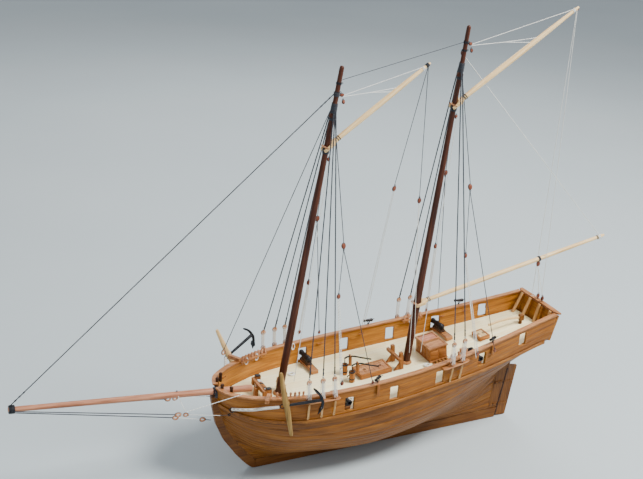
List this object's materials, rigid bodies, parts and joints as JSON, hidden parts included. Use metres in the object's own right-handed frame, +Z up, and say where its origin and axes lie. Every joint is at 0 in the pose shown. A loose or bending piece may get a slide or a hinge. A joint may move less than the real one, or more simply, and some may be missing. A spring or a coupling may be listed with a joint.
{
  "type": "rigged schooner hull model",
  "caption": "Bare-poled two-masted schooner model on its keel: planked hull, deck fittings, guns on slides, gaffs, boom, bowsprit, rudder and standing rigging.",
  "frame": {"origin": "on the flat underside of the keel, on the centreline, 112 mm forward of the aft end of the straight keel and 2.3 mm abaft the middle of its length", "axes": "+X along the keel towards the bow, +Y to port, +Z up"},
  "size_m": [0.5075, 0.1044, 0.3575],
  "materials": {
    "keel": "oiled and waxed",
    "stem": "oiled and waxed",
    "sternpost": "oiled and waxed",
    "hull_planking": "oiled and waxed",
    "bulwark_port": "oiled and waxed",
    "bulwark_starboard": "oiled and waxed",
    "deck": "oiled and waxed",
    "cap_rail_port": "oiled and waxed",
    "cap_rail_starboard": "oiled and waxed",
    "wale_port": "oiled and waxed",
    "wale_starboard": "oiled and waxed",
    "transom": "oiled and waxed",
    "taffrail": "oiled and waxed",
    "bulkhead_aft": "oiled and waxed",
    "bulkhead_middle": "oiled and waxed",
    "bulkhead_fore": "oiled and waxed",
    "spine": "oiled and waxed",
    "rudder": "oiled and waxed",
    "tiller": "oiled and waxed",
    "main_hatch": "oiled and waxed",
    "aft_hatch": "oiled and waxed",
    "companion": "oiled and waxed",
    "companion_lid": "oiled and waxed",
    "main_bitts": "oiled and waxed",
    "windlass_bitts": "oiled and waxed",
    "windlass_barrel": "oiled and waxed",
    "pump_port": "oiled and waxed",
    "pump_handle_port": "blackened casting",
    "pump_starboard": "oiled and waxed",
    "pump_handle_starboard": "blackened casting",
    "carronade_fore_port": "chemically darkened turning",
    "gun_slide_fore_port": "oiled and waxed",
    "carronade_fore_starboard": "chemically darkened turning",
    "gun_slide_fore_starboard": "oiled and waxed",
    "carronade_aft_port": "chemically darkened turning",
    "gun_slide_aft_port": "oiled and waxed",
    "carronade_aft_starboard": "chemically darkened turning",
    "gun_slide_aft_starboard": "oiled and waxed",
    "foremast": "oiled and waxed",
    "mainmast": "oiled and waxed",
    "bowsprit": "oiled and waxed",
    "fore_gaff": "oiled and waxed",
    "main_gaff": "oiled and waxed",
    "main_boom": "oiled and waxed",
    "channel_fore_port": "oiled and waxed",
    "channel_fore_starboard": "oiled and waxed",
    "channel_main_port": "oiled and waxed",
    "channel_main_starboard": "oiled and waxed",
    "shrouds_fore_port": "laid cotton cord",
    "shrouds_fore_starboard": "laid cotton cord",
    "shrouds_main_port": "laid cotton cord",
    "shrouds_main_starboard": "laid cotton cord",
    "forestay": "laid cotton cord",
    "triatic_stay": "laid cotton cord",
    "bowsprit_rigging": "laid cotton cord",
    "fore_peak_halyard": "laid cotton cord",
    "main_peak_halyard": "laid cotton cord",
    "topping_lift": "laid cotton cord",
    "anchor_port": "blackened casting",
    "anchor_starboard": "blackened casting"
  },
  "bodies": {
    "hull": {"keel": "keel", "stem": "stem", "sternpost": "sternpost", "hull_planking": "hull_planking", "bulwark_port": "bulwark_port", "bulwark_starboard": "bulwark_starboard", "deck": "deck", "cap_rail_port": "cap_rail_port", "cap_rail_starboard": "cap_rail_starboard", "wale_port": "wale_port", "wale_starboard": "wale_starboard", "transom": "transom", "taffrail": "taffrail", "bulkhead_aft": "bulkhead_aft", "bulkhead_middle": "bulkhead_middle", "bulkhead_fore": "bulkhead_fore", "spine": "spine", "main_hatch": "main_hatch", "aft_hatch": "aft_hatch", "companion": "companion", "companion_lid": "companion_lid", "main_bitts": "main_bitts", "windlass_bitts": "windlass_bitts", "pump_port": "pump_port", "pump_starboard": "pump_starboard", "gun_slide_fore_port": "gun_slide_fore_port", "gun_slide_fore_starboard": "gun_slide_fore_starboard", "gun_slide_aft_port": "gun_slide_aft_port", "gun_slide_aft_starboard": "gun_slide_aft_starboard", "foremast": "foremast", "mainmast": "mainmast", "bowsprit": "bowsprit", "channel_fore_port": "channel_fore_port", "channel_fore_starboard": "channel_fore_starboard", "channel_main_port": "channel_main_port", "channel_main_starboard": "channel_main_starboard", "shrouds_fore_port": "shrouds_fore_port", "shrouds_fore_starboard": "shrouds_fore_starboard", "shrouds_main_port": "shrouds_main_port", "shrouds_main_starboard": "shrouds_main_starboard", "forestay": "forestay", "triatic_stay": "triatic_stay", "bowsprit_rigging": "bowsprit_rigging", "anchor_port": "anchor_port", "anchor_starboard": "anchor_starboard"},
    "rudder": {"rudder": "rudder", "tiller": "tiller"},
    "main_boom": {"main_boom": "main_boom", "topping_lift": "topping_lift"},
    "main_gaff": {"main_gaff": "main_gaff", "main_peak_halyard": "main_peak_halyard"},
    "fore_gaff": {"fore_gaff": "fore_gaff", "fore_peak_halyard": "fore_peak_halyard"},
    "windlass_barrel": {"windlass_barrel": "windlass_barrel"},
    "pump_handle_port": {"pump_handle_port": "pump_handle_port"},
    "pump_handle_starboard": {"pump_handle_starboard": "pump_handle_starboard"},
    "carronade_fore_port": {"carronade_fore_port": "carronade_fore_port"},
    "carronade_fore_starboard": {"carronade_fore_starboard": "carronade_fore_starboard"},
    "carronade_aft_port": {"carronade_aft_port": "carronade_aft_port"},
    "carronade_aft_starboard": {"carronade_aft_starboard": "carronade_aft_starboard"}
  },
  "joints": [
    {"name": "rudder_hinge", "type": "hinge", "parent": "hull", "child": "rudder", "pos_m": [-0.11868, 0, 0.03], "axis": [-0.1671, 0, 0.9859], "range_deg": [-35, 35]},
    {"name": "main_boom_swing", "type": "hinge", "parent": "hull", "child": "main_boom", "pos_m": [-0.02297, 0, 0.1218], "axis": [-0.0984, 0, 0.9951], "range_deg": [-20, 20]},
    {"name": "main_gaff_swing", "type": "hinge", "parent": "hull", "child": "main_gaff", "pos_m": [-0.03907, 0, 0.2846], "axis": [-0.0984, 0, 0.9951], "range_deg": [-20, 20]},
    {"name": "fore_gaff_swing", "type": "hinge", "parent": "hull", "child": "fore_gaff", "pos_m": [0.06699, 0, 0.2593], "axis": [-0.1436, 0, 0.9896], "range_deg": [-20, 20]},
    {"name": "windlass_turn", "type": "hinge", "parent": "hull", "child": "windlass_barrel", "pos_m": [0.10942, 0, 0.06892], "axis": [0, 1, 0], "continuous": true},
    {"name": "pump_port_work", "type": "hinge", "parent": "hull", "child": "pump_handle_port", "pos_m": [0.031, 0.0065, 0.0803], "axis": [0, 1, 0], "range_deg": [-8, 18]},
    {"name": "pump_starboard_work", "type": "hinge", "parent": "hull", "child": "pump_handle_starboard", "pos_m": [0.031, -0.0065, 0.0803], "axis": [0, 1, 0], "range_deg": [-8, 18]},
    {"name": "carronade_fore_port_recoil", "type": "slide", "parent": "hull", "child": "carronade_fore_port", "axis": [0.0016, -0.9993, 0.0363], "range_m": [0, 0.007]},
    {"name": "carronade_fore_starboard_recoil", "type": "slide", "parent": "hull", "child": "carronade_fore_starboard", "axis": [0.0016, 0.9993, 0.0363], "range_m": [0, 0.007]},
    {"name": "carronade_aft_port_recoil", "type": "slide", "parent": "hull", "child": "carronade_aft_port", "axis": [0.0079, -0.999, 0.0441], "range_m": [0, 0.007]},
    {"name": "carronade_aft_starboard_recoil", "type": "slide", "parent": "hull", "child": "carronade_aft_starboard", "axis": [0.0079, 0.999, 0.0441], "range_m": [0, 0.007]}
  ],
  "couplings": [
    {"joint": "main_gaff_swing", "follows": "main_boom_swing", "ratio": 1}
  ]
}
